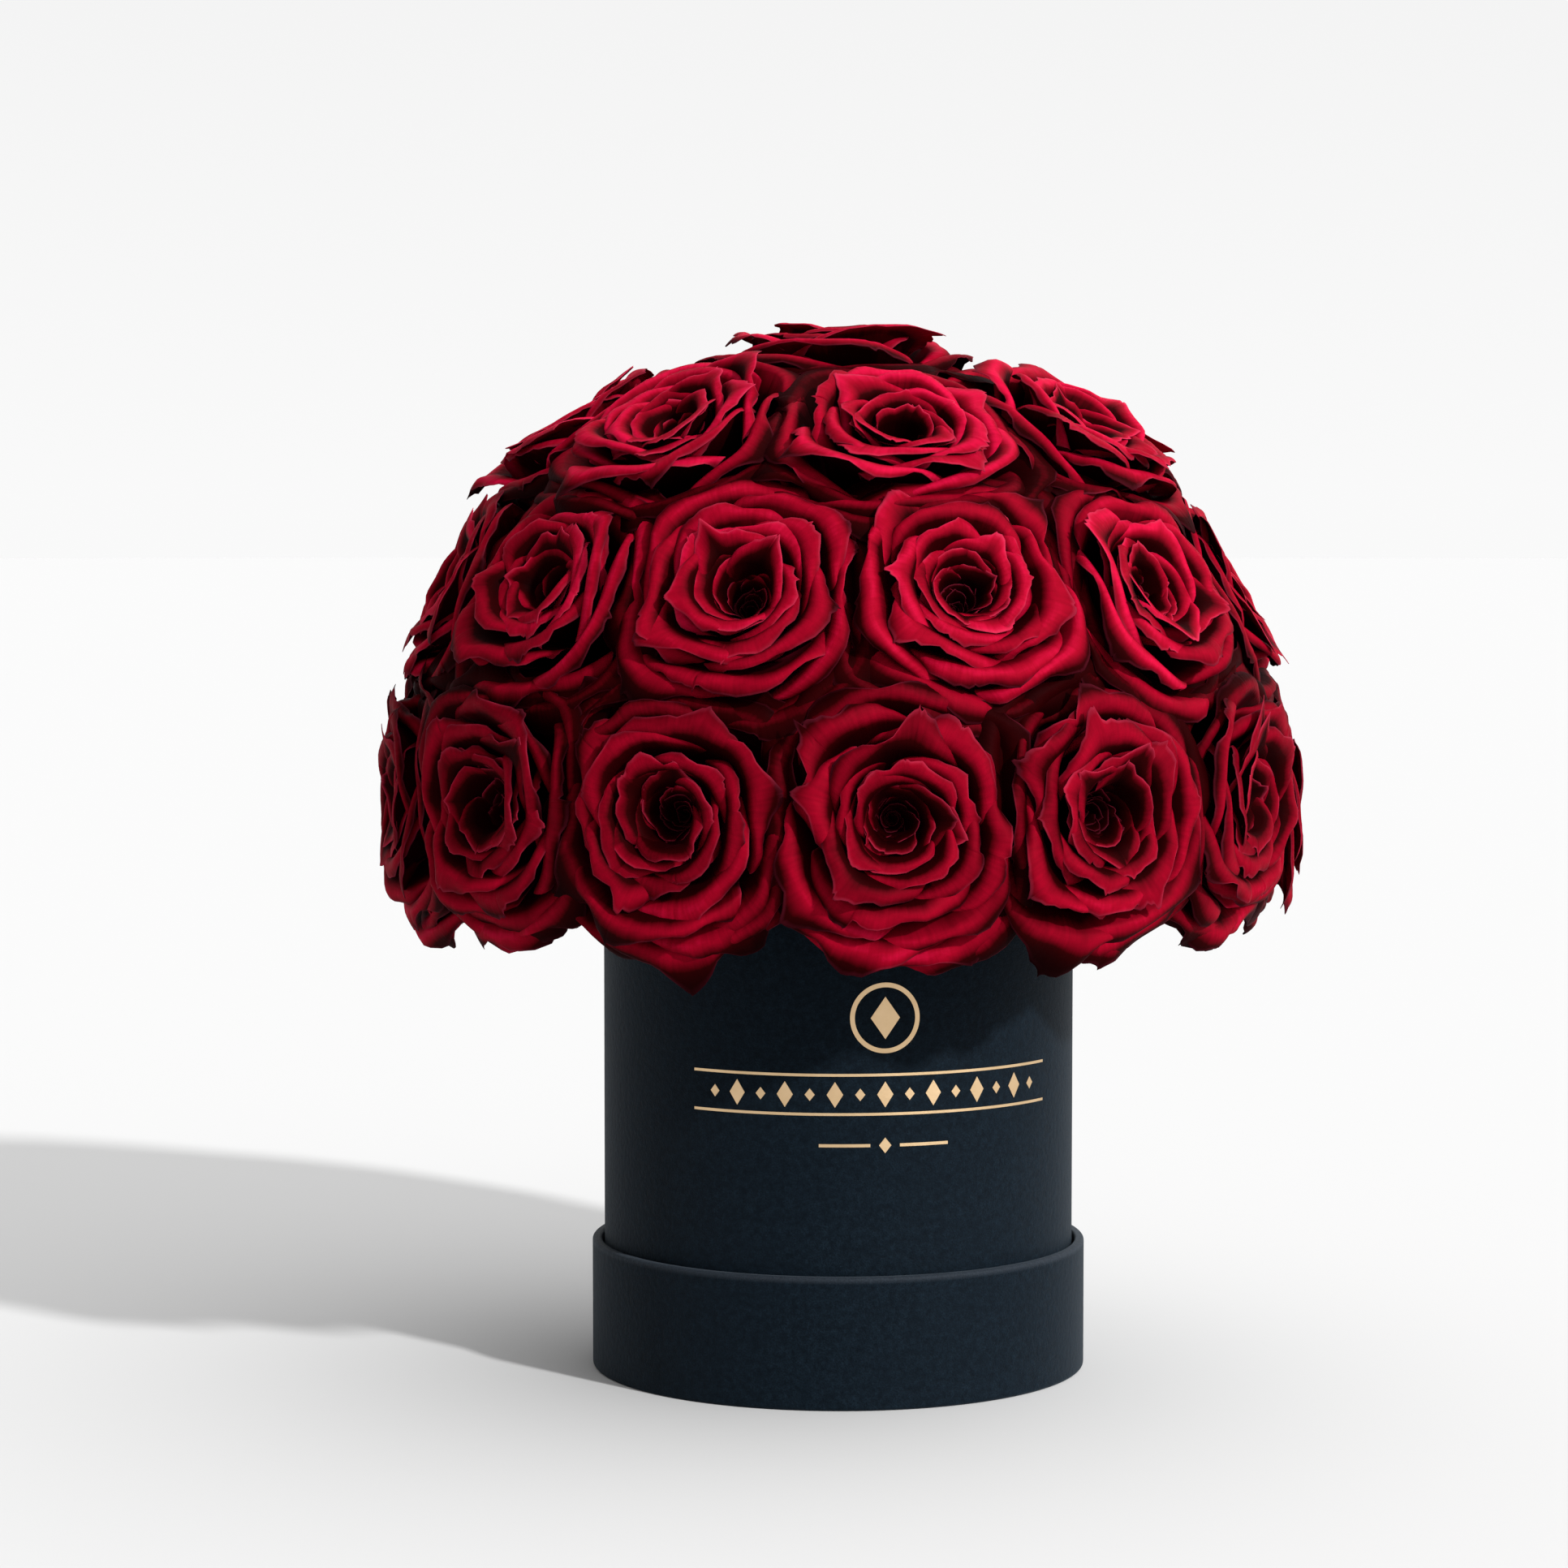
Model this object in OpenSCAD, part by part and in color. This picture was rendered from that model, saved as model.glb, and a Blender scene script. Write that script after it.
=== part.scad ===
// Round flower box standing in its own lid, with a dome of roses on a foam core.
// Millimetres, +Z up. The origin is the centre of the lid's underside, where the
// box stands on a table. The front, with the foil ornament, faces -Y.

/* [Box] */
// Outer diameter of the box, over its covering paper
box_d = 125; // [110:1:140]
// Height of the box's rim above the table
rim_z = 135; // [120:1:150]
// Thickness of the greyboard
board_t = 2; // [1.5:0.1:2.5]
// Thickness of the covering and lining papers
paper_t = 0.3; // [0.2:0.05:0.4]
// Radius of the paper's fold over a board edge
fold_r = 0.9; // [0.6:0.1:1.1]
// Depth of the covering paper's turn-in inside the rim
turn_in = 15; // [8:1:30]

/* [Lid] */
// Height of the lid, which the box stands in
lid_h = 34.3; // [20:0.1:50]
// Gap between the box and the lid's lining, all round
lid_gap = 0.65; // [0.3:0.05:1.5]

/* [Foil ornament] */
// Height of the foil above the paper
foil_t = 0.1; // [0.08:0.01:0.2]
// Diameter of the ring emblem
emblem_d = 18; // [10:1:24]
// Height of the ring emblem's centre above the table
emblem_z = 100; // [95:1:105]
// Height of the lozenge band's centre above the table
band_z = 80.5; // [76:0.5:82]
// Arc that the lozenge band covers, in degrees
band_arc = 94; // [60:1:140]
// Lozenges in the band
band_lozenges = 15; // [7:2:19]
// Height of the short rule's centre above the table
rule_z = 67.5; // [60:0.5:68]

/* [Foam] */
// Gap between the foam core and the box's lining, all round
core_gap = 0.4; // [0.3:0.1:1.5]
// Radius of the foam dome's ball
dome_r = 70; // [68:0.5:72]
// Height of the ball's centre above the box's rim
dome_rise = 16.5; // [14:0.5:20]
// How far the foam stands proud of the rim
foam_proud = 0.3; // [0.2:0.1:1]
// Diameter of the skewers that hold the dome to the core
skewer_d = 4; // [3:0.5:5]
// Skewers in the core
skewer_count = 3; // [2:1:4]

/* [Roses] */
// Distance from the ball's centre to a bloom's face
bloom_reach = 120.5; // [118:0.5:124]
// Half angle of the cone that each bloom fills, seen from the ball's centre
bloom_half_angle = 13.5; // [11:0.1:13.5]
// Diameter of the picks that hold the roses
pick_d = 3; // [2:0.25:3.5]
// Length of each pick
pick_length = 42; // [36:1:44]
// Height of the hip under each bloom
hip_h = 7.5; // [6:0.5:8]
// Roses in the lowest tier
lower_roses = 13; // [6:1:13]
// Roses in the middle tier
middle_roses = 11; // [6:1:11]
// Roses in the upper tier
upper_roses = 7; // [3:1:7]
// Angle of the lowest tier above level
lower_tilt = 1.5; // [0:0.5:1.5]
// Angle of the middle tier above level
middle_tilt = 29.5; // [29:0.5:30]
// Angle of the upper tier above level
upper_tilt = 57; // [57:0.5:58]

/* [Hidden] */
$fn = 96;

box_r = box_d / 2;
wrap_in_r = box_r - paper_t;              // inside of the box's covering paper
tube_in_r = wrap_in_r - board_t;          // inside of the greyboard tube
clear_r = tube_in_r - paper_t;            // free radius inside the box
lid_clear_r = box_r + lid_gap;            // free radius inside the lid
lid_band_r = lid_clear_r + paper_t;       // inside of the lid's greyboard band
lid_wrap_in_r = lid_band_r + board_t;     // inside of the lid's covering paper
lid_r = lid_wrap_in_r + paper_t;          // outside of the lid
lid_floor_z = board_t + 2 * paper_t;      // what the box stands on
box_floor_z = lid_floor_z + board_t + 2 * paper_t;  // what the foam stands on
ball_z = rim_z + dome_rise;               // centre of the foam ball
foam_top_z = rim_z + foam_proud;          // where the core meets the dome
core_r = clear_r - core_gap;
skewer_ring_r = 22;
skewer_z = [foam_top_z - 40, ball_z + 14];
hip_r = 5.5;
hip_socket = 6;                           // depth of the pick in the hip
pick_from = dome_r + hip_socket - pick_length;
bloom_from = dome_r + hip_h;              // where the petals begin
stamp_depth = 3;                          // depth of the cutters that shape the foil

// Tier name, number of roses, angle above level, angle of the first rose from the
// front towards +X.
TIERS = [
    ["lower", lower_roses, lower_tilt, -4],
    ["middle", middle_roses, middle_tilt, 7.8],
    ["upper", upper_roses, upper_tilt, 1.9],
    ["top", 1, 90, 0],
];

FIXED_NODES = [
    "lid_panel", "lid_band", "lid_cover_paper", "lid_base_paper", "lid_lining_paper",
    "box_tube", "box_floor", "box_cover_paper", "box_base_paper",
    "box_wall_lining", "box_floor_lining", "foil_ornament",
    "foam_core", "foam_dome", "core_skewers",
];

function rose_name(t, i) = str("rose_", t[0], "_", i);

// Points on an arc about c, from angle a to angle b.
function arc(c, r, a, b, steps = 6) =
    [for (i = [0 : steps]) let (g = a + (b - a) * i / steps) c + r * [cos(g), sin(g)]];

// Section of a wall from r0 to r1 and z0 to z1, with both top corners and the outer
// bottom corner rounded.
function wall_section(r0, r1, z0, z1, round) = concat(
    [[r0, z0]],
    arc([r1 - round, z0 + round], round, -90, 0),
    arc([r1 - round, z1 - round], round, 0, 90),
    arc([r0 + round, z1 - round], round, 90, 180)
);

module disc(r, z0, z1) {
    translate([0, 0, z0]) cylinder(r = r, h = z1 - z0);
}

module ring(r0, r1, z0, z1) {
    difference() {
        disc(r1, z0, z1);
        disc(r0, z0 - 1, z1 + 1);
    }
}

// A greyboard wall whose edges the paper folds over.
module board_wall(r0, r1, z0, z1) {
    rotate_extrude() polygon(wall_section(r0, r1, z0, z1, fold_r - paper_t));
}

// The paper on such a wall: outside, over the rim, and down inside to tuck_z.
module wall_paper(r0, r1, z0, z1, tuck_z) {
    rotate_extrude() difference() {
        polygon(wall_section(r0 - paper_t, r1 + paper_t, z0 - paper_t, z1 + paper_t, fold_r));
        polygon(wall_section(r0, r1, z0, z1, fold_r - paper_t));
        translate([0, z0 - paper_t]) square([r0, tuck_z - z0 + paper_t]);
    }
}

// Lid ------------------------------------------------------------------------------

module lid_panel() {
    color("tan") disc(lid_band_r, paper_t, paper_t + board_t);
}

module lid_band() {
    color("tan") board_wall(lid_band_r, lid_wrap_in_r, paper_t, lid_h - paper_t);
}

module lid_cover_paper() {
    color("#10161c") wall_paper(lid_band_r, lid_wrap_in_r, paper_t, lid_h - paper_t, lid_floor_z);
}

module lid_base_paper() {
    color("#10161c") disc(lid_band_r, 0, paper_t);
}

module lid_lining_paper() {
    color("#10161c") disc(lid_band_r, paper_t + board_t, lid_floor_z);
}

// Box ------------------------------------------------------------------------------

module box_tube() {
    color("tan") board_wall(tube_in_r, wrap_in_r, lid_floor_z + paper_t, rim_z - paper_t);
}

module box_floor() {
    z = lid_floor_z + paper_t;
    color("tan") disc(tube_in_r, z, z + board_t);
}

module box_cover_paper() {
    color("#10161c")
        wall_paper(tube_in_r, wrap_in_r, lid_floor_z + paper_t, rim_z - paper_t, rim_z - turn_in);
}

module box_base_paper() {
    color("#10161c") disc(tube_in_r, lid_floor_z, lid_floor_z + paper_t);
}

module box_wall_lining() {
    color("#20262c") ring(clear_r, tube_in_r, box_floor_z, rim_z - turn_in);
}

module box_floor_lining() {
    color("#20262c") disc(tube_in_r, box_floor_z - paper_t, box_floor_z);
}

// Foil -----------------------------------------------------------------------------

// What the shape drawn in x and z cuts out of the foil, when it is turned by az.
module stamped(az, z) {
    intersection() {
        ring(box_r, box_r + foil_t, z - emblem_d, z + emblem_d);
        rotate([0, 0, az]) translate([0, stamp_depth / 2 - box_r, z]) rotate([90, 0, 0])
            linear_extrude(stamp_depth) children();
    }
}

module lozenge(w, h) {
    polygon([[-w / 2, 0], [0, -h / 2], [w / 2, 0], [0, h / 2]]);
}

module foil_rule(arc_deg, z, h) {
    rotate([0, 0, -90 - arc_deg / 2]) rotate_extrude(angle = arc_deg)
        translate([box_r, z - h / 2]) square([foil_t, h]);
}

// A ring round a lozenge.
module foil_emblem() {
    line_w = 1.2;
    stamped(0, emblem_z) difference() {
        circle(d = emblem_d);
        circle(d = emblem_d - 2 * line_w);
    }
    stamped(0, emblem_z) lozenge(emblem_d * 0.42, emblem_d * 0.6);
}

// Lozenges, large and small in turn, between two rules.
module foil_band() {
    rule_h = 0.7;
    half_h = 5;
    step = band_arc / (band_lozenges + 1);
    for (s = [-1, 1]) foil_rule(band_arc, band_z + s * half_h, rule_h);
    for (i = [1 : band_lozenges]) {
        big = i % 2 == 0;
        stamped(i * step - band_arc / 2, band_z) lozenge(big ? 4.2 : 2.6, big ? 6.6 : 3.2);
    }
}

module foil_short_rule() {
    gap_deg = 3.5;
    side_deg = 12;
    for (s = [-1, 1])
        rotate([0, 0, s * (gap_deg + side_deg / 2)]) foil_rule(side_deg, rule_z, 0.8);
    stamped(0, rule_z) lozenge(3.2, 4);
}

module foil_ornament() {
    color("#c79a63") {
        foil_emblem();
        foil_band();
        foil_short_rule();
    }
}

// Foam -----------------------------------------------------------------------------

module skewers() {
    for (i = [0 : skewer_count - 1])
        rotate([0, 0, 360 * i / skewer_count]) translate([skewer_ring_r, 0, skewer_z[0]])
            cylinder(d = skewer_d, h = skewer_z[1] - skewer_z[0], $fn = 32);
}

module core_skewers() {
    color("burlywood") skewers();
}

module foam_core() {
    color("#3f5a3a") difference() {
        disc(core_r, box_floor_z, foam_top_z);
        skewers();
    }
}

module foam_dome() {
    color("#3f5a3a") difference() {
        translate([0, 0, ball_z]) sphere(r = dome_r);
        translate([0, 0, foam_top_z - dome_r]) cube(2 * dome_r, center = true);
        skewers();
        for (t = TIERS) picks(t);
    }
}

// Roses ----------------------------------------------------------------------------

// Puts its children on rose i of tier t, with +Z pointing out of the ball.
module at_rose(t, i) {
    translate([0, 0, ball_z])
        rotate([0, 0, t[3] + 360 * (i - 1) / t[1]])
            rotate([90 - t[2], 0, 0])
                children();
}

module picks(t) {
    color("burlywood") for (i = [1 : t[1]]) at_rose(t, i)
        translate([0, 0, pick_from]) cylinder(d = pick_d, h = pick_length, $fn = 32);
}

// The hip, with a socket for the pick, and five sepals under the petals.
module calyx() {
    sepal_length = 15;
    sepal_t = 0.6;
    sepal_slope = 29;
    hip_stand = 0.4;
    difference() {
        union() {
            translate([0, 0, dome_r + hip_stand])
                cylinder(r1 = 0.62 * hip_r, r2 = hip_r, h = hip_h - hip_stand);
            for (i = [0 : 4])
                rotate([0, 0, 72 * i]) translate([hip_r - 2, 0, bloom_from - 3.6])
                    rotate([0, -sepal_slope, 0]) linear_extrude(sepal_t) sepal(sepal_length);
        }
        translate([0, 0, dome_r - 1]) cylinder(d = pick_d, h = hip_socket + 1, $fn = 32);
    }
}

module sepal(length) {
    polygon([
        [0, -1.8], [length * 0.35, -2.6], [length * 0.7, -1.5], [length, 0],
        [length * 0.7, 1.5], [length * 0.35, 2.6], [0, 1.8]
    ]);
}

module calyxes(t) {
    color("darkolivegreen") for (i = [1 : t[1]]) at_rose(t, i) calyx();
}

// The space that one bloom's petals fill.
module bloom() {
    depth = bloom_reach - bloom_from;
    wide_z = bloom_from + 0.76 * depth;
    wide_r = wide_z * tan(bloom_half_angle);
    rotate_extrude() polygon([
        [0, bloom_from],
        [0.30 * wide_r, bloom_from],
        [0.57 * wide_r, bloom_from + 0.11 * depth],
        [0.77 * wide_r, bloom_from + 0.29 * depth],
        [0.91 * wide_r, bloom_from + 0.52 * depth],
        [wide_r, wide_z],
        [0.96 * wide_r, bloom_from + 0.89 * depth],
        [0.76 * wide_r, bloom_from + 0.97 * depth],
        [0, bloom_reach]
    ]);
}

module rose(t, i) {
    color("#a3051f") at_rose(t, i) bloom();
}

lid_panel();
lid_band();
lid_cover_paper();
lid_base_paper();
lid_lining_paper();
box_tube();
box_floor();
box_cover_paper();
box_base_paper();
box_wall_lining();
box_floor_lining();
foil_ornament();
foam_core();
foam_dome();
core_skewers();
for (t = TIERS) {
    picks(t);
    calyxes(t);
    for (i = [1 : t[1]])
        rose(t, i);
}
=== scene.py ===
"""The looks of the flower box: velvety rose heads, papers, foil, foam and wood on the CAD frame.

Metres, +Z up. The front, with the foil ornament, faces -Y.
"""
import math

import bpy
import numpy as np
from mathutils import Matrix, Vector


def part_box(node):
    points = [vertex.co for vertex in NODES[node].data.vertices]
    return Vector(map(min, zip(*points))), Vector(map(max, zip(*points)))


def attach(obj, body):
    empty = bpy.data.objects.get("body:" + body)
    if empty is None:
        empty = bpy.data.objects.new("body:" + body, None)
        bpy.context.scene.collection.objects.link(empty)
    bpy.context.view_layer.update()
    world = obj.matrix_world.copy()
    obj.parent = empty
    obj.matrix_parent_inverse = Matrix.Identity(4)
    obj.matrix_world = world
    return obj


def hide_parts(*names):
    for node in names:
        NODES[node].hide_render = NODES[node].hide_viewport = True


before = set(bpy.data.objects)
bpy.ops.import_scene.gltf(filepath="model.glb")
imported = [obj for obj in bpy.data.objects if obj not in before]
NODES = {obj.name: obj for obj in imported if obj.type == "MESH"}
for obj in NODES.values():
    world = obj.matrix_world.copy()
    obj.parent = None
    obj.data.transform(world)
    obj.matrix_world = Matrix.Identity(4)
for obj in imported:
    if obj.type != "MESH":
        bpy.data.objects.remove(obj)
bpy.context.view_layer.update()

MM = 0.001

# ---------------------------------------------------------------- measures of the frame

LID_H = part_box("lid_cover_paper")[1].z
RIM_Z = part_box("box_cover_paper")[1].z
dome_low, dome_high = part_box("foam_dome")
BALL_R = (dome_high.x - dome_low.x) / 2
BALL = np.array([0.0, 0.0, dome_high.z - BALL_R])


def centroid(mesh):
    """Centre of a mesh's surface, by area."""
    areas = np.empty(len(mesh.polygons))
    centres = np.empty(len(mesh.polygons) * 3)
    mesh.polygons.foreach_get("area", areas)
    mesh.polygons.foreach_get("center", centres)
    return (centres.reshape(-1, 3) * areas[:, None]).sum(0) / areas.sum()


def points(mesh):
    """The vertices of a mesh, one row each."""
    flat = np.empty(len(mesh.vertices) * 3)
    mesh.vertices.foreach_get("co", flat)
    return flat.reshape(-1, 3)


def unit(v):
    return v / np.linalg.norm(v)


class Bloom:
    """Where one rose sits: its axis out of the foam ball, and the depth and width of its CAD solid.

    side and over are the directions across the axis: over points up the dome.
    """

    def __init__(self, node):
        mesh = NODES[node].data
        self.node = node
        self.tier = node.split("_")[1]
        self.axis = unit(centroid(mesh) - BALL)
        along = (points(mesh) - BALL) @ self.axis
        across = np.linalg.norm(points(mesh) - BALL - np.outer(along, self.axis), axis=1)
        self.start, self.reach, self.wide = along.min(), along.max(), across.max()
        up = np.array([0.0, 0.0, 1.0]) if abs(self.axis[2]) < 0.99 else np.array([0.0, 1.0, 0.0])
        self.side = unit(np.cross(up, self.axis))
        self.over = np.cross(self.axis, self.side)

    def place(self, r, turn, z):
        """Points in the frame, from distance, angle and height about the bloom's axis."""
        return (
            BALL
            + (self.start + z)[..., None] * self.axis
            + (r * np.cos(turn))[..., None] * self.side
            + (r * np.sin(turn))[..., None] * self.over
        )


ROSES = [Bloom(n) for n in sorted(NODES) if n.startswith("rose_")]

# ---------------------------------------------------------------- camera and light

# The camera stands in front, a little to the left. Lens and sensor are in millimetres.
CAMERA_AZIMUTH = math.radians(-11)
CAMERA_DISTANCE = 1.1537
CAMERA_HEIGHT = 0.2332
CAMERA_PITCH = math.radians(3.87)
CAMERA_YAW = math.radians(0.72)
CAMERA_LENS = 99.67
SENSOR_WIDTH = 36
# Strength and apparent size of the key light, and where it stands as the camera sees it
KEY_ENERGY = 3.6
KEY_ANGLE = math.radians(3.5)
KEY_PLACE = (0.61, -0.62, 0.485)
# Brightness of the pale room: round the skyline, its fall above it, and its dim and bright sides
BACKDROP = 0.95
BACKDROP_FALL = 0.07
DIM_SIDE, BRIGHT_SIDE = 0.20, 1.75
BRIGHT_PLACE = (0.85, 0.25, 0.46)
# The floor's grey, chosen so that it meets the backdrop with no line
FLOOR_GREY = 0.575
FLOOR_RADIUS = 14.0
FLOOR_SPOKES = 96


def seen_from_camera(right, away, up):
    """A place given as the camera sees it: to its right, away from it, and up."""
    a = CAMERA_AZIMUTH
    return Vector((
        right * math.cos(a) - away * math.sin(a),
        right * math.sin(a) + away * math.cos(a),
        up,
    ))


def make_camera():
    data = bpy.data.cameras.new("camera")
    data.lens = CAMERA_LENS
    data.sensor_width = SENSOR_WIDTH
    data.clip_start, data.clip_end = 0.01, 50
    camera = bpy.data.objects.new("camera", data)
    camera.location = seen_from_camera(0, -CAMERA_DISTANCE, CAMERA_HEIGHT)
    camera.rotation_euler = (math.pi / 2 - CAMERA_PITCH, 0, CAMERA_AZIMUTH + CAMERA_YAW)
    bpy.context.scene.collection.objects.link(camera)
    bpy.context.scene.camera = camera


def make_lights():
    """A low key from the right, in front, and a room that is bright on the right and dim on the left."""
    data = bpy.data.lights.new("key", "SUN")
    data.energy = KEY_ENERGY
    data.angle = KEY_ANGLE
    key = bpy.data.objects.new("key", data)
    key.rotation_euler = seen_from_camera(*KEY_PLACE).to_track_quat("Z", "Y").to_euler()
    bpy.context.scene.collection.objects.link(key)

    world = bpy.data.worlds.new("studio")
    world.use_nodes = True
    nodes, links = world.node_tree.nodes, world.node_tree.links

    def spread(value, start, end, low, high):
        """A value from start to end spread over low to high."""
        made = nodes.new("ShaderNodeMapRange")
        for socket, number in zip(("From Min", "From Max", "To Min", "To Max"), (start, end, low, high)):
            made.inputs[socket].default_value = number
        links.new(value, made.inputs["Value"])
        return made.outputs["Result"]

    place = nodes.new("ShaderNodeTexCoord").outputs["Generated"]
    facing = nodes.new("ShaderNodeVectorMath")
    facing.operation = "DOT_PRODUCT"
    facing.inputs[1].default_value = seen_from_camera(*BRIGHT_PLACE)
    links.new(place, facing.inputs[0])
    axes = nodes.new("ShaderNodeSeparateXYZ")
    links.new(place, axes.inputs[0])
    skyline = spread(axes.outputs["Z"], 0.0, 0.17, BACKDROP, BACKDROP - BACKDROP_FALL)
    above = spread(axes.outputs["Z"], 0.12, 0.22, 0.0, 1.0)
    dim, bright = DIM_SIDE - BACKDROP, BRIGHT_SIDE - BACKDROP
    change = spread(facing.outputs["Value"], -0.35, 0.6, dim, bright)
    level = nodes.new("ShaderNodeMath")
    level.operation = "MULTIPLY_ADD"
    for socket, value in zip(level.inputs, (above, change, skyline)):
        links.new(value, socket)
    links.new(level.outputs[0], nodes["Background"].inputs["Strength"])
    nodes["Background"].inputs["Color"].default_value = (1, 1, 1, 1)
    bpy.context.scene.world = world
    bpy.context.scene.view_settings.view_transform = "Standard"


def make_stage():
    """A pale flat floor, wide enough to meet the pale background."""
    turns = [2 * math.pi * j / FLOOR_SPOKES for j in range(FLOOR_SPOKES)]
    edge = [(FLOOR_RADIUS * math.cos(a), FLOOR_RADIUS * math.sin(a), 0) for a in turns]
    mesh = bpy.data.meshes.new("floor")
    mesh.from_pydata(edge, [], [range(FLOOR_SPOKES)])
    floor = bpy.data.objects.new("floor", mesh)
    bpy.context.scene.collection.objects.link(floor)
    material = bpy.data.materials.new("floor")
    material.use_nodes = True
    shader = material.node_tree.nodes["Principled BSDF"]
    shader.inputs["Base Color"].default_value = (FLOOR_GREY, FLOOR_GREY, FLOOR_GREY, 1)
    shader.inputs["Roughness"].default_value = 1.0
    shader.inputs["Specular IOR Level"].default_value = 0.0
    mesh.materials.append(material)


# ---------------------------------------------------------------- material kit


class Shader:
    """A Principled material with helpers that add nodes to it.

    Its keywords are the shader's own sockets, with _ for a space.
    """

    def __init__(self, name, **sockets):
        self.material = bpy.data.materials.new(name)
        self.material.use_nodes = True
        self.tree = self.material.node_tree
        self.bsdf = self.tree.nodes["Principled BSDF"]
        for socket, value in sockets.items():
            self.bsdf.inputs[socket.replace("_", " ")].default_value = value

    # In the helpers a value is a number, a vector or another node's output

    def node(self, kind, inputs=None, **settings):
        """A new node with its settings, each of its inputs linked or set."""
        made = self.tree.nodes.new(kind)
        for key, value in settings.items():
            setattr(made, key, value)
        for key, value in (inputs or {}).items():
            if hasattr(value, "is_output"):
                self.tree.links.new(value, made.inputs[key])
            else:
                made.inputs[key].default_value = value
        return made

    def set(self, socket, value):
        """Link a node's output to the shader's own socket."""
        self.tree.links.new(value, self.bsdf.inputs[socket])

    def math(self, operation, a, b=0.0):
        return self.node("ShaderNodeMath", {0: a, 1: b}, operation=operation).outputs[0]

    def noise(self, scale, vector, detail=3.0, roughness=0.5):
        inputs = {"Scale": scale, "Vector": vector, "Detail": detail, "Roughness": roughness}
        return self.node("ShaderNodeTexNoise", inputs).outputs["Fac"]

    def object_place(self):
        """The place on the object, in metres of its own frame."""
        return self.node("ShaderNodeTexCoord").outputs["Object"]

    def scaled(self, vector, scale):
        return self.node("ShaderNodeMapping", {"Vector": vector, "Scale": scale}).outputs["Vector"]

    def ramp(self, value, stops):
        """Colours along a value from 0 to 1: stops are (place, colour)."""
        made = self.node("ShaderNodeValToRGB", {"Fac": value})
        elements = made.color_ramp.elements
        while len(elements) < len(stops):
            elements.new(0.5)
        for element, (place, colour) in zip(elements, stops):
            element.position = place
            element.color = (*colour, 1)
        return made.outputs["Color"]

    def between(self, value, low, high):
        """A value from 0 to 1 spread over low to high."""
        inputs = {"Value": value, "To Min": low, "To Max": high}
        return self.node("ShaderNodeMapRange", inputs).outputs["Result"]

    def fade(self, value, start, end, low=0.0, high=1.0):
        """low until the value reaches start, high from end on."""
        inputs = {"Value": value, "From Min": start, "From Max": end, "To Min": low, "To Max": high}
        return self.node("ShaderNodeMapRange", inputs).outputs["Result"]

    def mix(self, factor, a, b):
        """Colour a where the factor is 0, b where it is 1."""
        made = self.node("ShaderNodeMix", data_type="RGBA")
        for key, value in (("Factor", factor), ("A", a), ("B", b)):
            socket = next(s for s in made.inputs if s.enabled and s.name == key)
            if hasattr(value, "is_output"):
                self.tree.links.new(value, socket)
            else:
                socket.default_value = value
        return next(s for s in made.outputs if s.enabled)

    def bump(self, height, distance, strength, under=None):
        """Relief from a height, on top of the relief under it."""
        inputs = {"Height": height, "Distance": distance, "Strength": strength}
        if under is not None:
            inputs["Normal"] = under
        return self.node("ShaderNodeBump", inputs).outputs["Normal"]

    def attribute(self, name):
        """A value painted on the mesh."""
        return self.node("ShaderNodeAttribute", attribute_name=name).outputs["Fac"]


def petal_velvet():
    """Deep crimson darkened into the folds by painted shade, with fine veins and thin paler edges that are a
    painted edge highlight.
    """
    s = Shader(
        "petal_velvet", Roughness=0.6, Specular_IOR_Level=0.01,
        Sheen_Weight=0.03, Sheen_Roughness=0.3, Sheen_Tint=(1.0, 0.03, 0.12, 1),
    )
    uv = s.node("ShaderNodeUVMap", uv_map="petal").outputs["UV"]
    # light is the painted shade on the mesh; edge is the mask of the painted edge highlight
    light, edge = s.attribute("light"), s.attribute("edge")
    veins = s.noise(900.0, s.scaled(uv, (1.0, 0.06, 1.0)), detail=2.0)
    cloud = s.noise(110.0, uv, detail=3.0)
    shade = s.math("MULTIPLY", light, s.between(veins, 0.86, 1.14))
    shade = s.math("MULTIPLY", shade, s.between(cloud, 0.7, 1.3))
    # Painted shade: the colour falls to near black where light is low, down in the folds
    body = s.ramp(shade, [
        (0.0, (0.003, 0.0, 0.0001)), (0.3, (0.018, 0.0001, 0.0005)),
        (0.7, (0.24, 0.001, 0.011)), (1.0, (0.50, 0.004, 0.038)),
    ])
    # Painted edge highlight: paler along the petal's edge, and brighter where the painted shade is light
    rim = s.math("MULTIPLY", edge, s.math("MULTIPLY", s.between(cloud, 0.0, 0.9), light))
    body = s.mix(rim, body, (0.45, 0.04, 0.09, 1))
    s.set("Base Color", body)
    fine = s.bump(veins, 0.2 * MM, 0.5)
    s.set("Normal", s.bump(cloud, 0.6 * MM, 0.5, fine))
    return s.material


def sepal_skin():
    """Dyed, dried green: dark, matte and finely wrinkled."""
    s = Shader("sepal_skin", Roughness=0.7, Specular_IOR_Level=0.2)
    place = s.object_place()
    wrinkles = s.noise(700.0, place, detail=4.0)
    patches = s.noise(120.0, place)
    green = s.mix(s.between(patches, 0.1, 0.9), (0.006, 0.016, 0.006, 1), (0.022, 0.040, 0.012, 1))
    s.set("Base Color", s.mix(s.between(wrinkles, 0.0, 0.5), green, (0.035, 0.028, 0.012, 1)))
    s.set("Normal", s.bump(wrinkles, 0.5 * MM, 0.8))
    return s.material


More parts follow.
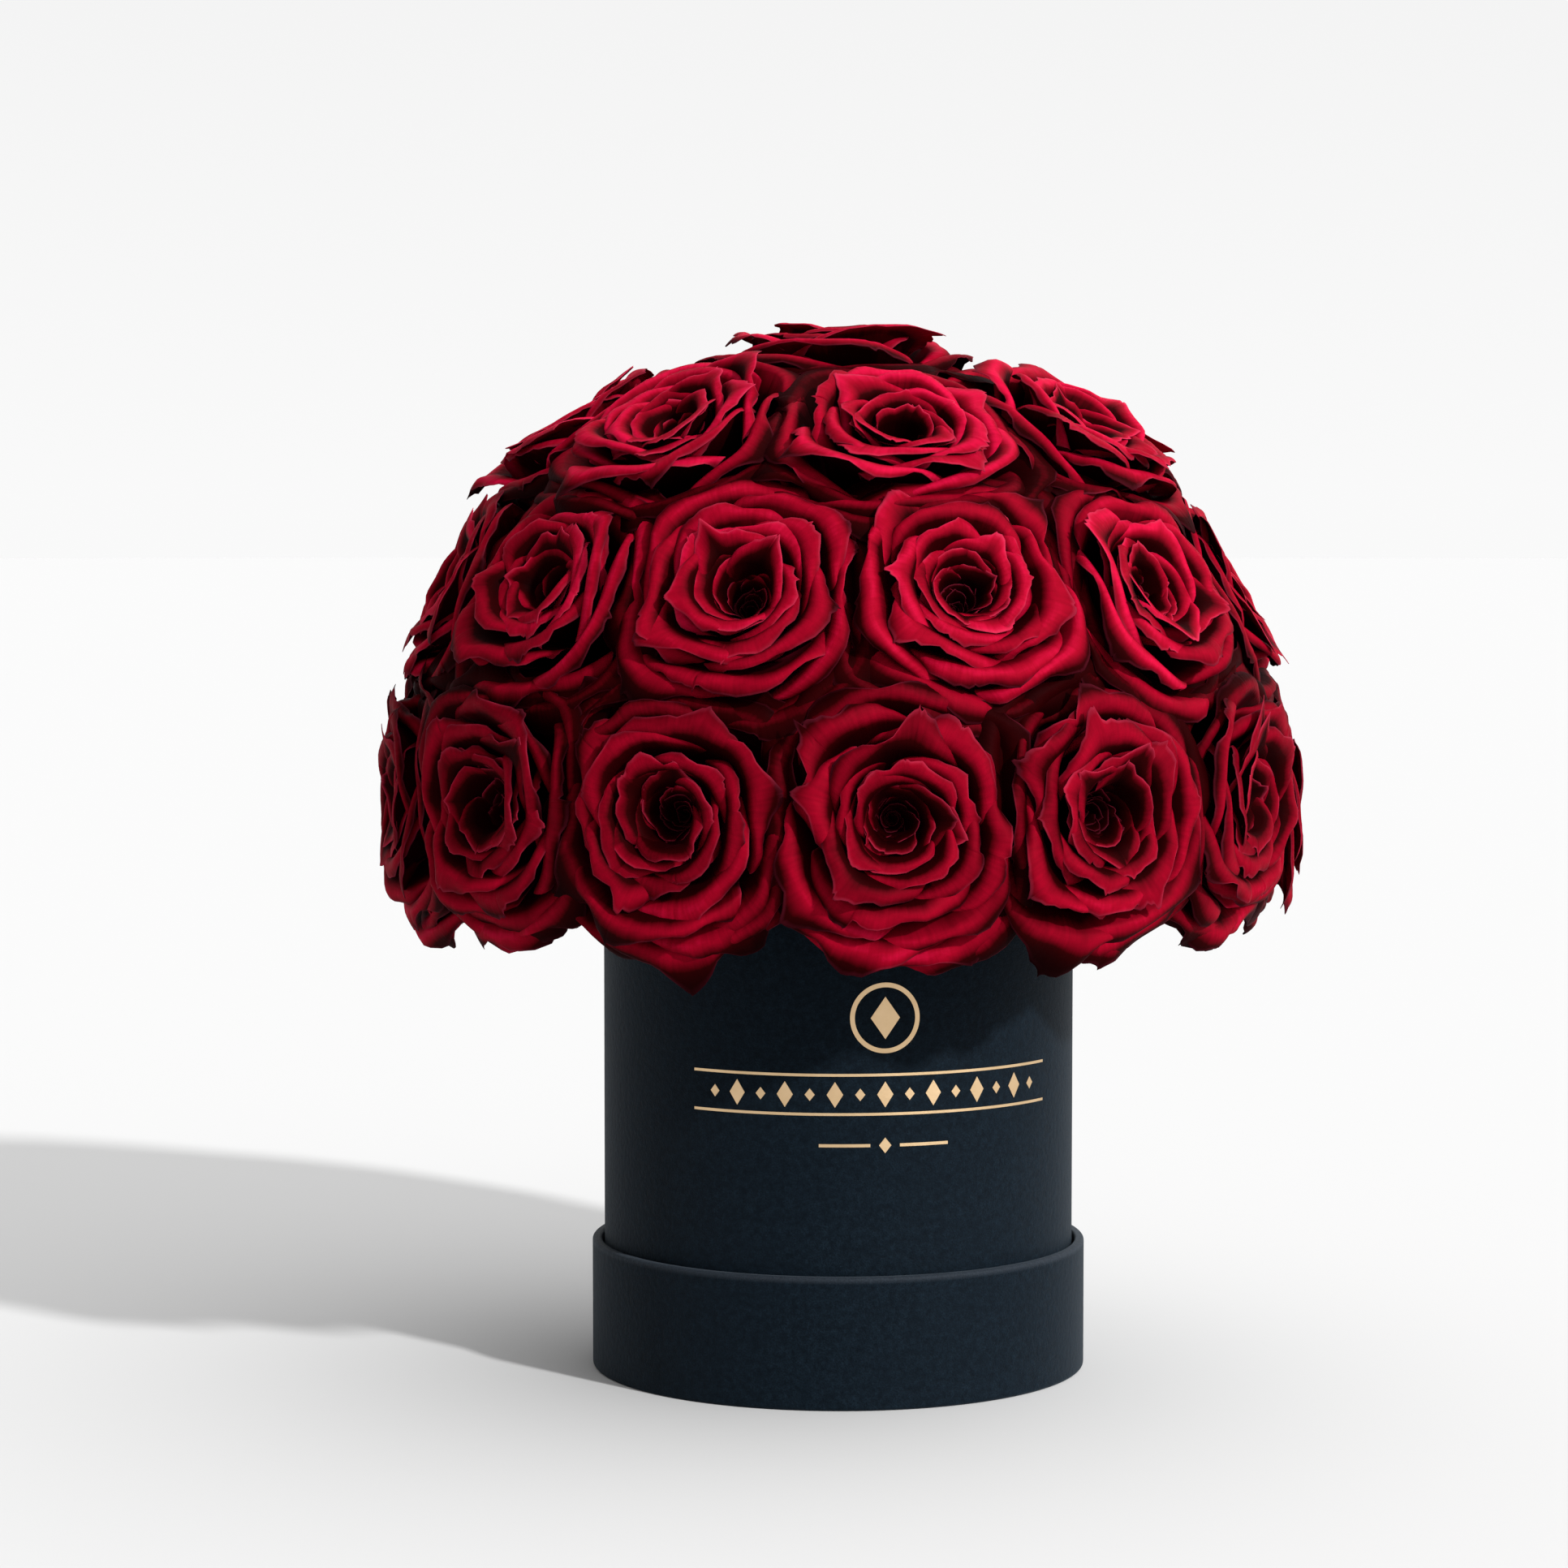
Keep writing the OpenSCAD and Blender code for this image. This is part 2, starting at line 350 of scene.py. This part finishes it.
def cover_paper(name, rim):
    """Blue-black uncoated paper: a mottled felt grain, a rim a little paler from wear and from a painted
    highlight, a lap seam behind.

    rim is the height of the folded rim that is made paler.
    """
    s = Shader(
        name, Roughness=0.6, Specular_IOR_Level=0.038,
        Sheen_Weight=0.07, Sheen_Roughness=0.45, Sheen_Tint=(0.68, 0.84, 1.0, 1),
    )
    place = s.object_place()
    grain = s.noise(2600.0, place, detail=3.0, roughness=0.65)
    felt = s.noise(620.0, place, detail=4.0, roughness=0.6)
    cloud = s.noise(28.0, place, detail=2.0)
    ink = s.mix(s.between(felt, -0.8, 1.8), (0.0016, 0.0042, 0.0074, 1), (0.0080, 0.0168, 0.0264, 1))
    ink = s.mix(s.between(grain, -0.8, 1.8), (0.0012, 0.0031, 0.0054, 1), ink)
    ink = s.mix(s.between(cloud, 0.0, 0.5), ink, (0.0018, 0.0046, 0.0084, 1))
    axes = s.node("ShaderNodeSeparateXYZ", {"Vector": place}).outputs
    # A pale band along the rim's fold: partly wear, partly a painted highlight
    off = s.math("ABSOLUTE", s.math("SUBTRACT", axes["Z"], rim - 0.4 * MM))
    wear_and_highlight = s.fade(off, 0.3 * MM, 1.4 * MM, 1.0, 0.0)
    scuff_and_highlight = s.math("MULTIPLY", wear_and_highlight, s.between(grain, 0.1, 0.8))
    s.set("Base Color", s.mix(scuff_and_highlight, ink, (0.036, 0.043, 0.054, 1)))
    s.set("Roughness", s.between(felt, 0.52, 0.70))
    rear = s.math("GREATER_THAN", axes["Y"], 0.0)
    lap = s.fade(axes["X"], -0.15 * MM, 0.15 * MM)
    seam = s.bump(s.math("MULTIPLY", rear, lap), 0.3 * MM, 1.0)
    body = s.bump(felt, 0.25 * MM, 0.8, seam)
    s.set("Normal", s.bump(grain, 0.12 * MM, 0.9, body))
    return s.material


def lining_paper():
    """Plain black paper, smoother than the cover, with a faint mottle."""
    s = Shader("lining_paper", Roughness=0.8, Specular_IOR_Level=0.25)
    place = s.object_place()
    fibres = s.noise(1500.0, s.scaled(place, (1.0, 1.0, 0.3)), detail=4.0)
    mottle = s.noise(90.0, place)
    ink = s.mix(s.between(mottle, 0.0, 1.0), (0.010, 0.010, 0.011, 1), (0.019, 0.019, 0.020, 1))
    s.set("Base Color", s.mix(s.between(fibres, 0.0, 0.4), ink, (0.030, 0.030, 0.031, 1)))
    s.set("Normal", s.bump(fibres, 0.05 * MM, 0.6))
    return s.material


def greyboard():
    """Recycled grey-brown board, flecked and layered."""
    s = Shader("greyboard", Roughness=0.9, Specular_IOR_Level=0.15)
    place = s.object_place()
    pulp = s.noise(260.0, place, detail=5.0, roughness=0.6)
    flecks = s.noise(1400.0, place, detail=2.0)
    board = s.mix(pulp, (0.20, 0.18, 0.155, 1), (0.34, 0.315, 0.28, 1))
    s.set("Base Color", s.mix(s.fade(flecks, 0.66, 0.72), board, (0.07, 0.06, 0.055, 1)))
    s.set("Normal", s.bump(pulp, 0.25 * MM, 0.8))
    return s.material


def gold_foil():
    """Pale gold hot-stamped foil: metal that keeps some of the paper's grain."""
    s = Shader("gold_foil", Metallic=1.0)
    place = s.object_place()
    grain = s.noise(2200.0, place, detail=3.0)
    drift = s.noise(160.0, place)
    s.set("Base Color", s.mix(s.between(drift, 0.0, 1.0), (0.60, 0.41, 0.22, 1), (0.74, 0.54, 0.33, 1)))
    s.set("Roughness", s.between(grain, 0.28, 0.52))
    s.set("Normal", s.bump(grain, 0.03 * MM, 0.7))
    return s.material


def floral_foam():
    """Dark dyed dry foam: small open cells with painted shade in their pits, and crumbs."""
    s = Shader("floral_foam", Roughness=0.95, Specular_IOR_Level=0.1)
    place = s.object_place()
    cells = s.node("ShaderNodeTexVoronoi", {"Vector": place, "Scale": 900.0}).outputs["Distance"]
    crumbs = s.noise(300.0, place, detail=5.0)
    tint = s.mix(s.between(crumbs, 0.0, 1.0), (0.006, 0.009, 0.006, 1), (0.020, 0.026, 0.018, 1))
    # Painted shade: each cell darker towards its middle, down in its pit
    s.set("Base Color", s.mix(s.between(cells, 0.5, 0.0), tint, (0.003, 0.004, 0.003, 1)))
    fine = s.bump(cells, 0.6 * MM, 0.9)
    s.set("Normal", s.bump(crumbs, 0.8 * MM, 0.6, fine))
    return s.material


def split_wood(name, pale, dark, along):
    """Split wood with streaks along one direction: along is the scale of the noise on each axis."""
    s = Shader(name, Roughness=0.65, Specular_IOR_Level=0.3)
    place = s.scaled(s.object_place(), along)
    streaks = s.noise(1800.0, place, detail=4.0, roughness=0.6)
    bands = s.noise(300.0, place)
    wood = s.mix(s.between(bands, 0.0, 1.0), (*dark, 1), (*pale, 1))
    s.set("Base Color", s.mix(s.between(streaks, 0.0, 0.6), wood, (*dark, 1)))
    s.set("Normal", s.bump(streaks, 0.15 * MM, 0.7))
    return s.material


def finish_cad_nodes():
    """Give every CAD node that stays its own procedural material."""
    lid_cover, box_cover = cover_paper("lid_paper", LID_H), cover_paper("box_paper", RIM_Z)
    lining, board = lining_paper(), greyboard()
    foam = floral_foam()
    picks = split_wood("pick_wood", (0.045, 0.060, 0.030), (0.012, 0.018, 0.010), (1.0, 1.0, 1.0))
    finishes = {
        "lid_panel": board, "lid_band": board, "box_tube": board, "box_floor": board,
        "lid_cover_paper": lid_cover, "lid_base_paper": lid_cover, "lid_lining_paper": lid_cover,
        "box_cover_paper": box_cover, "box_base_paper": box_cover,
        "box_wall_lining": lining, "box_floor_lining": lining,
        "foil_ornament": gold_foil(),
        "foam_core": foam, "foam_dome": foam,
        "core_skewers": split_wood("skewer_bamboo", (0.56, 0.42, 0.24), (0.34, 0.23, 0.11), (1.0, 1.0, 0.05)),
        "picks_lower": picks, "picks_middle": picks, "picks_upper": picks, "picks_top": picks,
    }
    for node, material in finishes.items():
        slots = NODES[node].data.materials
        slots.clear()
        slots.append(material)


# ---------------------------------------------------------------- mesh kit


def mesh_object(name, verts, quads, uv=None, paint=None):
    """A smooth mesh from arrays: uv holds a pair, and paint named values, for each vertex."""
    mesh = bpy.data.meshes.new(name)
    mesh.vertices.add(len(verts))
    mesh.vertices.foreach_set("co", verts.astype(np.float32).ravel())
    mesh.loops.add(quads.size)
    mesh.loops.foreach_set("vertex_index", quads.astype(np.int32).ravel())
    mesh.polygons.add(len(quads))
    mesh.polygons.foreach_set("loop_start", np.arange(0, quads.size, 4, dtype=np.int32))
    mesh.update(calc_edges=True)
    mesh.shade_smooth()
    if uv is not None:
        layer = mesh.uv_layers.new(name="petal")
        layer.uv.foreach_set("vector", uv[quads.ravel()].astype(np.float32).ravel())
    for key, values in (paint or {}).items():
        mesh.attributes.new(key, "FLOAT", "POINT").data.foreach_set("value", values.astype(np.float32))
    made = bpy.data.objects.new(name, mesh)
    bpy.context.scene.collection.objects.link(made)
    return made


def joined(parts):
    """The vertices and faces of many parts as one pair of arrays."""
    offsets = np.cumsum([0] + [len(p[0]) for p in parts[:-1]])
    return np.concatenate([p[0] for p in parts]), np.concatenate([p[1] + o for p, o in zip(parts, offsets)])


def thick_sheet(grid, thickness):
    """A closed shell from a grid of points, rows by columns: the grid's own face, and one behind it."""
    rows, cols = grid.shape[:2]
    down = np.gradient(grid, axis=0)
    over = np.gradient(grid, axis=1)
    normal = np.cross(over, down)
    normal /= np.maximum(np.linalg.norm(normal, axis=2, keepdims=True), 1e-12)
    back = grid - normal * thickness[..., None]
    verts = np.concatenate([grid.reshape(-1, 3), back.reshape(-1, 3)])
    place = np.arange(rows * cols).reshape(rows, cols)
    corner = np.stack([place[:-1, :-1], place[:-1, 1:], place[1:, 1:], place[1:, :-1]], -1).reshape(-1, 4)
    ring = np.concatenate([place[0, :-1], place[:-1, -1], place[-1, :0:-1], place[:0:-1, 0]])
    after = np.roll(ring, -1)
    far = rows * cols
    walls = np.stack([ring, ring + far, after + far, after], -1)
    quads = np.concatenate([corner, corner[:, ::-1] + far, walls])
    return verts, quads


# ---------------------------------------------------------------- roses

# Petals of a bloom of middling breadth, and the outermost ones, which fill the gaps between blooms
INNER_PETALS = 35
GUARDS = 9
GOLDEN = math.radians(137.5)
ROSE_SEED = 100
# For each tier: its painted shade, darker for the tiers lower down the dome that less light reaches, how far
# it rises past its CAD solids, how sharp its petals' tips are, and how far its blooms nod down the dome
TIER_PAINTED_SHADE = {"lower": 0.68, "middle": 0.9, "upper": 1.0, "top": 1.0}
TIER_RISE = {"lower": 0.0, "middle": 0.0, "upper": 3.5 * MM, "top": 3.0 * MM}
TIER_SPUR = {"lower": 1.0, "middle": 1.0, "upper": 1.0, "top": 0.5}
TIER_NOD = {"lower": 0.0, "middle": 0.0, "upper": 5.0 * MM, "top": 3.0 * MM}
# Painted shade of the petals that hang past the box's rim, lighter than the rest of the lower tier, and how
# much they are cut short
SKIRT_PAINTED_SHADE = 0.85
SKIRT_TRIM = 0.13
# Rows of points in a petal's cup and in its curled rim
CUP_ROWS = 6
RIM_ROWS = 10
# Width of a petal's columns, and the fewest and the most on each side of its tip
COLUMN_WIDTH = 1.2 * MM
FEWEST_COLUMNS, MOST_COLUMNS = 8, 19
# Width of the pale line along a petal's edge, a painted edge highlight
EDGE_WIDTH = 0.4 * MM
# A bloom's widest spread, where along its depth it meets its neighbours, and who they are
WIDEST = 1.26
MEETING = 0.82
NEIGHBOUR_ANGLE = math.radians(50)

# How petals change from the heart of a bloom, at 0, to the outermost one, at 1
PETAL_TOP = (
    (0, 0.62), (0.1, 0.69), (0.2, 0.79), (0.3, 0.89), (0.4, 0.96),
    (0.55, 1), (0.7, 1), (0.85, 0.95), (1, 0.82),
)
PETAL_HALF_TURN = ((0, 172), (0.15, 160), (0.25, 130), (0.4, 95), (0.5, 82), (1, 62))
PETAL_LEAN = ((0, 0), (0.2, 5), (0.35, 16), (0.5, 28), (0.7, 36), (1, 48))
PETAL_CURL = ((0, 6), (0.25, 24), (0.4, 72), (0.7, 108), (1, 104))
PETAL_POINT = ((0, 0.2), (0.3, 0.7), (0.75, 1.1), (1, 0.7))
PETAL_CRUMPLE = ((0, 0.06), (0.4, 0.14), (0.7, 0.20), (0.9, 0.34), (1, 0.42))
PETAL_TEETH = ((0, 0.06), (0.4, 0.13), (0.8, 0.15), (1, 0.08))
PETAL_DROOP = ((0, 0.03), (0.25, 0.05), (0.45, 0.12), (1, 0.2))
# Painted shade: dark in the heart's hollow, and on the outermost petals in the gaps between blooms
HEART_LIGHT = ((0, 0.12), (0.12, 0.35), (0.3, 1))
GUARD_LIGHT = ((0.85, 1.0), (0.97, 0.72), (1.0, 0.45))
SKIRT_SHARE = ((0.6, 0), (0.9, 1))


def along(t, stops):
    """The value at t, on straight lines between stops of t and value."""
    places, values = zip(*stops)
    return np.interp(t, places, values)


def wave(u, rng, pitches=(0.8, 1.7, 3.1), sizes=(1.0, 0.6, 0.35)):
    """A smooth random wave across a petal, from about -1 to 1."""
    phase = rng.uniform(0, 2 * math.pi, len(pitches))
    total = sum(a * np.sin(math.pi * f * u + p) for a, f, p in zip(sizes, pitches, phase))
    return total / 1.3


def ragged(count, rng):
    """Random roughness along a rim: small teeth over a slower wander."""
    teeth = np.convolve(rng.normal(0, 1, count + 2), [0.2, 0.6, 0.2], "valid")
    wander = np.convolve(rng.normal(0, 1, count + 6), np.full(7, 1 / 7), "valid")
    return teeth + 1.5 * wander


def bezier(p0, p1, p2, p3, s):
    """Places s from 0 to 1 along a cubic curve."""
    q = 1 - s
    return q**3 * p0 + 3 * q * q * s * p1 + 3 * q * s * s * p2 + s**3 * p3


def downward(turn):
    """How much a direction about a bloom's axis points down: 0 to 1."""
    return np.clip(-np.sin(turn), 0, 1) ** 2


def cell_reach(bloom, turn):
    """How far the bloom may spread in each direction before it meets its neighbours."""
    power = 12
    widest = WIDEST * bloom.wide
    inverse = np.full(turn.shape, widest**-power)
    at = bloom.start + MEETING * (bloom.reach - bloom.start)
    for other in ROSES:
        angle = math.acos(np.clip(bloom.axis @ other.axis, -1, 1))
        if other is bloom or angle > NEIGHBOUR_ANGLE:
            continue
        towards = math.atan2(other.axis @ bloom.over, other.axis @ bloom.side)
        facing = np.maximum(np.cos(turn - towards), 0.05)
        inverse += (at * math.tan(angle / 2) / facing) ** -power
    free = inverse ** (-1 / power)
    if bloom.tier == "lower":
        free = free - downward(turn) * SKIRT_TRIM * bloom.wide
    return free


def crowded(count):
    """Places from 0 to 1 that lie closer together near both ends."""
    return (1 - np.cos(math.pi * np.linspace(0, 1, count + 1))) / 2


def petal_columns(half_width, apex):
    """Places across a petal from -1 to 1, closer together at its sides and at its tip."""
    half = int(np.clip(half_width / COLUMN_WIDTH, FEWEST_COLUMNS, MOST_COLUMNS))
    ramp = crowded(half)
    return np.concatenate([-1 + (apex + 1) * ramp, apex + (1 - apex) * ramp[1:]])[None, :]


def curled_rim(lean, bend):
    """The path of a rim of length 1 that leans out and then bends over.

    Gives each row's place along the rim and how far out and up it lies, then the last heading.
    """
    ends = 1 - (1 - np.linspace(0, 1, RIM_ROWS + 1)[:, None]) ** 1.5
    step = np.diff(ends, axis=0)
    heading = lean + bend * ((ends[:-1] + ends[1:]) / 2) ** 1.4
    outward = np.cumsum(step * np.sin(heading), axis=0)
    upward = np.cumsum(step * np.cos(heading), axis=0)
    return ends[1:], outward, upward, heading[-1:]


def petal_light(bloom, t, angle, z, rng):
    """Painted shade over a petal: darker down in the bloom, in its heart, in the gaps between blooms and on
    the lower tiers.
    """
    # Painted shade: darker the further below the petal's top; the tone also differs at random between petals
    sunk = (z.max(axis=0) - z) / (0.3 * (bloom.reach - bloom.start))
    light = np.exp(-9.0 * sunk) * rng.uniform(0.72, 1.0) * along(t, HEART_LIGHT)
    # Painted shade by tier, and for the outermost petals in the gaps between blooms
    tier_and_guard_shade = TIER_PAINTED_SHADE[bloom.tier] * along(t, GUARD_LIGHT)
    if bloom.tier == "lower":
        tier_and_guard_shade = tier_and_guard_shade + (SKIRT_PAINTED_SHADE - tier_and_guard_shade) * (downward(angle) * along(t, SKIRT_SHARE))
    return light * tier_and_guard_shade


def petal(bloom, t, turn, hand, rng):
    """One petal of a bloom: its vertices, faces, uv and paint.

    t runs from 0 at the heart to 1 at the outermost petal. A petal is a cup, with rows from its
    foot to the fold, and a rim that curls over from there. u runs across it, from -1 to 1.
    """
    wide, depth = bloom.wide, bloom.reach - bloom.start
    edge_r = wide * (0.085 + 0.62 * t + 0.47 * t * t) * rng.normal(1, 0.03)
    gap = wide * (0.045 + 0.095 * t)
    flare = gap * rng.uniform(1.05, 1.35)
    fold_r = max(edge_r - flare, 0.05 * wide)
    top_z = (depth + TIER_RISE[bloom.tier]) * along(t, PETAL_TOP) * rng.normal(1, 0.022)
    half_turn = math.radians(along(t, PETAL_HALF_TURN)) * bloom.breadth * rng.normal(1, 0.06)
    lean = math.radians(along(t, PETAL_LEAN)) * rng.normal(1, 0.12)
    curl = math.radians(along(t, PETAL_CURL)) * rng.normal(1, 0.10)
    point = along(t, PETAL_POINT) * rng.uniform(0.1, 1.5)
    crumple = along(t, PETAL_CRUMPLE)

    apex = rng.uniform(-0.45, 0.45)
    u = petal_columns(half_turn * edge_r, apex)
    side = np.abs(u)
    swell = np.exp(-(((u - apex) / 0.32) ** 2))
    spur = np.clip(1 - np.abs(u - apex) / 0.36, 0, 1) ** 1.8

    bend = curl * (1 - 0.35 * point * swell + 0.3 * side**2)
    q, outward, upward, heading = curled_rim(lean, bend)
    length = 1.1 * flare / max(math.sin(min(lean + 0.42 * curl, 1.7)), 0.3)
    length = length * (0.9 + 0.35 * point * swell - 0.55 * side**5 + 0.05 * wave(u, rng, (3.1, 5.3, 7.9)))
    teeth = along(t, PETAL_TEETH) * ragged(u.size, rng)
    spike = (0.55 * TIER_SPUR[bloom.tier] * point * spur + teeth) * length * q**3

    cup_z = (top_z - (length * upward).max(axis=0)) * (1 - along(t, PETAL_DROOP) * side**2.4)
    cup_r = fold_r + hand * u * 0.4 * gap + 0.06 * gap * wave(u, rng)
    s = np.linspace(0, 1, CUP_ROWS)[:, None]
    reach = 0.4 * cup_z
    waist_r = np.maximum(cup_r - math.tan(lean) * reach, 0.3 * cup_r)
    r_cup = bezier(0.07 * wide, cup_r * (0.35 + 0.35 * t), waist_r, cup_r, s)
    z_cup = bezier(depth * (0.06 - 0.04 * t), depth * (0.16 - 0.12 * t), cup_z - reach, cup_z, s)
    frill = crumple * gap * wave(u, rng, (1.9, 3.3, 5.1)) * q**2
    r_rim = cup_r + length * outward + spike * np.sin(heading) + frill
    frill = crumple * gap * wave(u, rng, (1.4, 2.9, 4.7)) * q**1.5
    z_rim = cup_z + length * upward + spike * np.cos(heading) + frill
    r, z = np.concatenate([r_cup, r_rim]), np.concatenate([z_cup, z_rim])

    share = np.concatenate([0.7 * s, 0.7 + 0.3 * q])
    narrow = 1 - 0.5 * min(t / 0.4, 1) * (1 - np.sin(math.pi / 2 * np.clip(share / 0.7, 0, 1) ** 0.7))
    corner = 1 - 0.16 * side**3 * np.clip((share - 0.7) / 0.3, 0, 1) ** 1.5
    angle = turn + u * half_turn * narrow * corner

    spread = np.clip((r / wide - 0.2) / 0.8, 0, 1)
    free = cell_reach(bloom, angle) / wide - 1
    pulled = r * (1 + free * spread * spread * (3 - 2 * spread))
    z = z - 0.35 * np.maximum(pulled - 1.08 * wide, 0)

    grid = bloom.place(pulled, angle, z) + ((z / depth) ** 2)[..., None] * bloom.nod
    rim_near = np.minimum(1 - side, 0.25) / 0.25 * np.minimum((1 - share) / 0.12, 1)
    verts, quads = thick_sheet(grid, MM * (0.15 + 0.25 * rim_near))
    uv = np.stack([u * half_turn * edge_r + 0 * r, share * depth + 0 * r], -1).reshape(-1, 2)
    # Mask of the painted edge highlight along the petal's rim and sides
    from_rim = np.concatenate([np.full((CUP_ROWS, u.size), wide), (1 - q) * length])
    edge = 1 - np.minimum(from_rim, (1 - side) * half_turn * edge_r) / EDGE_WIDTH
    # The painted shade goes on the mesh as light, the painted edge highlight's mask as edge
    paint = {
        "edge": np.tile(np.clip(edge, 0, 1).ravel(), 2),
        "light": np.tile(petal_light(bloom, t, angle, z, rng).ravel(), 2),
    }
    return verts, quads, np.tile(uv, (2, 1)), paint


def make_rose(bloom, seed, material):
    """All the petals of a bloom as one piece, set out by the golden angle from the heart."""
    rng = np.random.default_rng(seed)
    hand = 1 if rng.random() < 0.5 else -1
    start = rng.uniform(0, 2 * math.pi)
    bloom.breadth = rng.uniform(0.84, 1.08)
    sway = rng.normal(0, 0.9 * MM, 2)
    bloom.nod = sway[0] * bloom.side + (sway[1] - TIER_NOD[bloom.tier]) * bloom.over
    inner = round(INNER_PETALS / bloom.breadth)
    parts = []
    for i in range(inner + GUARDS):
        turn = start + hand * i * GOLDEN + rng.normal(0, 0.10)
        t = min(i / inner, 1) ** 1.15 + rng.uniform(-0.02, 0.06) * (i > inner)
        parts.append(petal(bloom, t, turn, hand, rng))
    verts, quads = joined(parts)
    uv = np.concatenate([p[2] for p in parts])
    paint = {k: np.concatenate([p[3][k] for p in parts]) for k in parts[0][3]}
    made = mesh_object(bloom.node.replace("rose", "petals"), verts, quads, uv, paint)
    made.data.materials.append(material)
    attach(made, "bouquet")
    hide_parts(bloom.node)


def make_roses():
    velvet = petal_velvet()
    for i, bloom in enumerate(ROSES):
        make_rose(bloom, ROSE_SEED + i, velvet)


# ---------------------------------------------------------------- hips and sepals

HIP_ROWS = 14
HIP_SPOKES = 24
HIP_R = 5.0 * MM
# Room between the foam and a hip
HIP_STAND = 0.4 * MM
SEPALS = 5
SEPAL_ROWS, SEPAL_COLUMNS = 15, 9
SEPAL_LENGTHS = (13, 17)
SEPAL_THICKNESS = 0.3 * MM
CALYX_SEED = 7


def hip(bloom, height, rng):
    """The rounded base under a bloom, a turned form with shallow ribs and narrow ends."""
    s = np.linspace(0, 1, HIP_ROWS)[:, None]
    turn = np.linspace(0, 2 * math.pi, HIP_SPOKES, endpoint=False)[None, :]
    belly = 0.32 + 0.68 * np.sin(math.pi * (0.12 + 0.62 * s)) ** 1.3
    ends = np.where((s == 0) | (s == 1), 0.05, 1.0)
    r = HIP_R * belly * ends * (1 + 0.03 * np.sin(5 * turn + rng.uniform(0, 6)))
    z = -height + height * s + 0 * turn
    rings = bloom.place(r, turn + 0 * s, z)
    place = np.arange(HIP_ROWS * HIP_SPOKES).reshape(HIP_ROWS, HIP_SPOKES)
    after = np.roll(place, -1, axis=1)
    sides = np.stack([place[:-1], after[:-1], after[1:], place[1:]], -1).reshape(-1, 4)
    return rings.reshape(-1, 3), sides


def sepal(bloom, turn, long, rng):
    """One pointed sepal, toothed at its edges, that bends back from the top of the hip."""
    s = np.linspace(0, 1, SEPAL_ROWS)[:, None]
    u = np.linspace(-1, 1, SEPAL_COLUMNS)[None, :]
    broad = 2.6 * MM * np.sin(math.pi * np.clip(0.16 + 0.84 * s, 0, 1)) ** 0.7 * (1 - s) ** 0.35 + 0.15 * MM
    teeth = 1 + 0.22 * np.sin(s * 34 + rng.uniform(0, 6)) * np.abs(u) ** 4 * (s > 0.15)
    sideways = u * broad * teeth
    r = 2.2 * MM + long * (s - 0.12 * s**2)
    z = -0.9 * MM - long * (0.10 * s + 0.20 * s**2) - 0.9 * MM * (1 - u * u) * np.sin(math.pi * s) * 0.6
    angle = turn + np.arctan2(sideways, r) + rng.normal(0, 0.05) * s
    grid = bloom.place(np.hypot(r, sideways), angle, z)
    return thick_sheet(grid, np.full((SEPAL_ROWS, SEPAL_COLUMNS), SEPAL_THICKNESS))


def make_calyxes():
    """Hips and sepals in place of the plain CAD solids, one piece for each tier."""
    skin = sepal_skin()
    rng = np.random.default_rng(CALYX_SEED)
    for tier in ("lower", "middle", "upper", "top"):
        parts = []
        for bloom in (b for b in ROSES if b.tier == tier):
            parts.append(hip(bloom, bloom.start - BALL_R - HIP_STAND, rng))
            start = rng.uniform(0, 2 * math.pi)
            for k in range(SEPALS):
                long = rng.uniform(*SEPAL_LENGTHS) * MM
                parts.append(sepal(bloom, start + k * 2 * math.pi / SEPALS, long, rng))
        made = mesh_object("sepals_" + tier, *joined(parts))
        made.data.materials.append(skin)
        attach(made, "bouquet")
        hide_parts("calyxes_" + tier)


# ---------------------------------------------------------------- build

make_camera()
make_lights()
make_stage()
finish_cad_nodes()
make_calyxes()
make_roses()
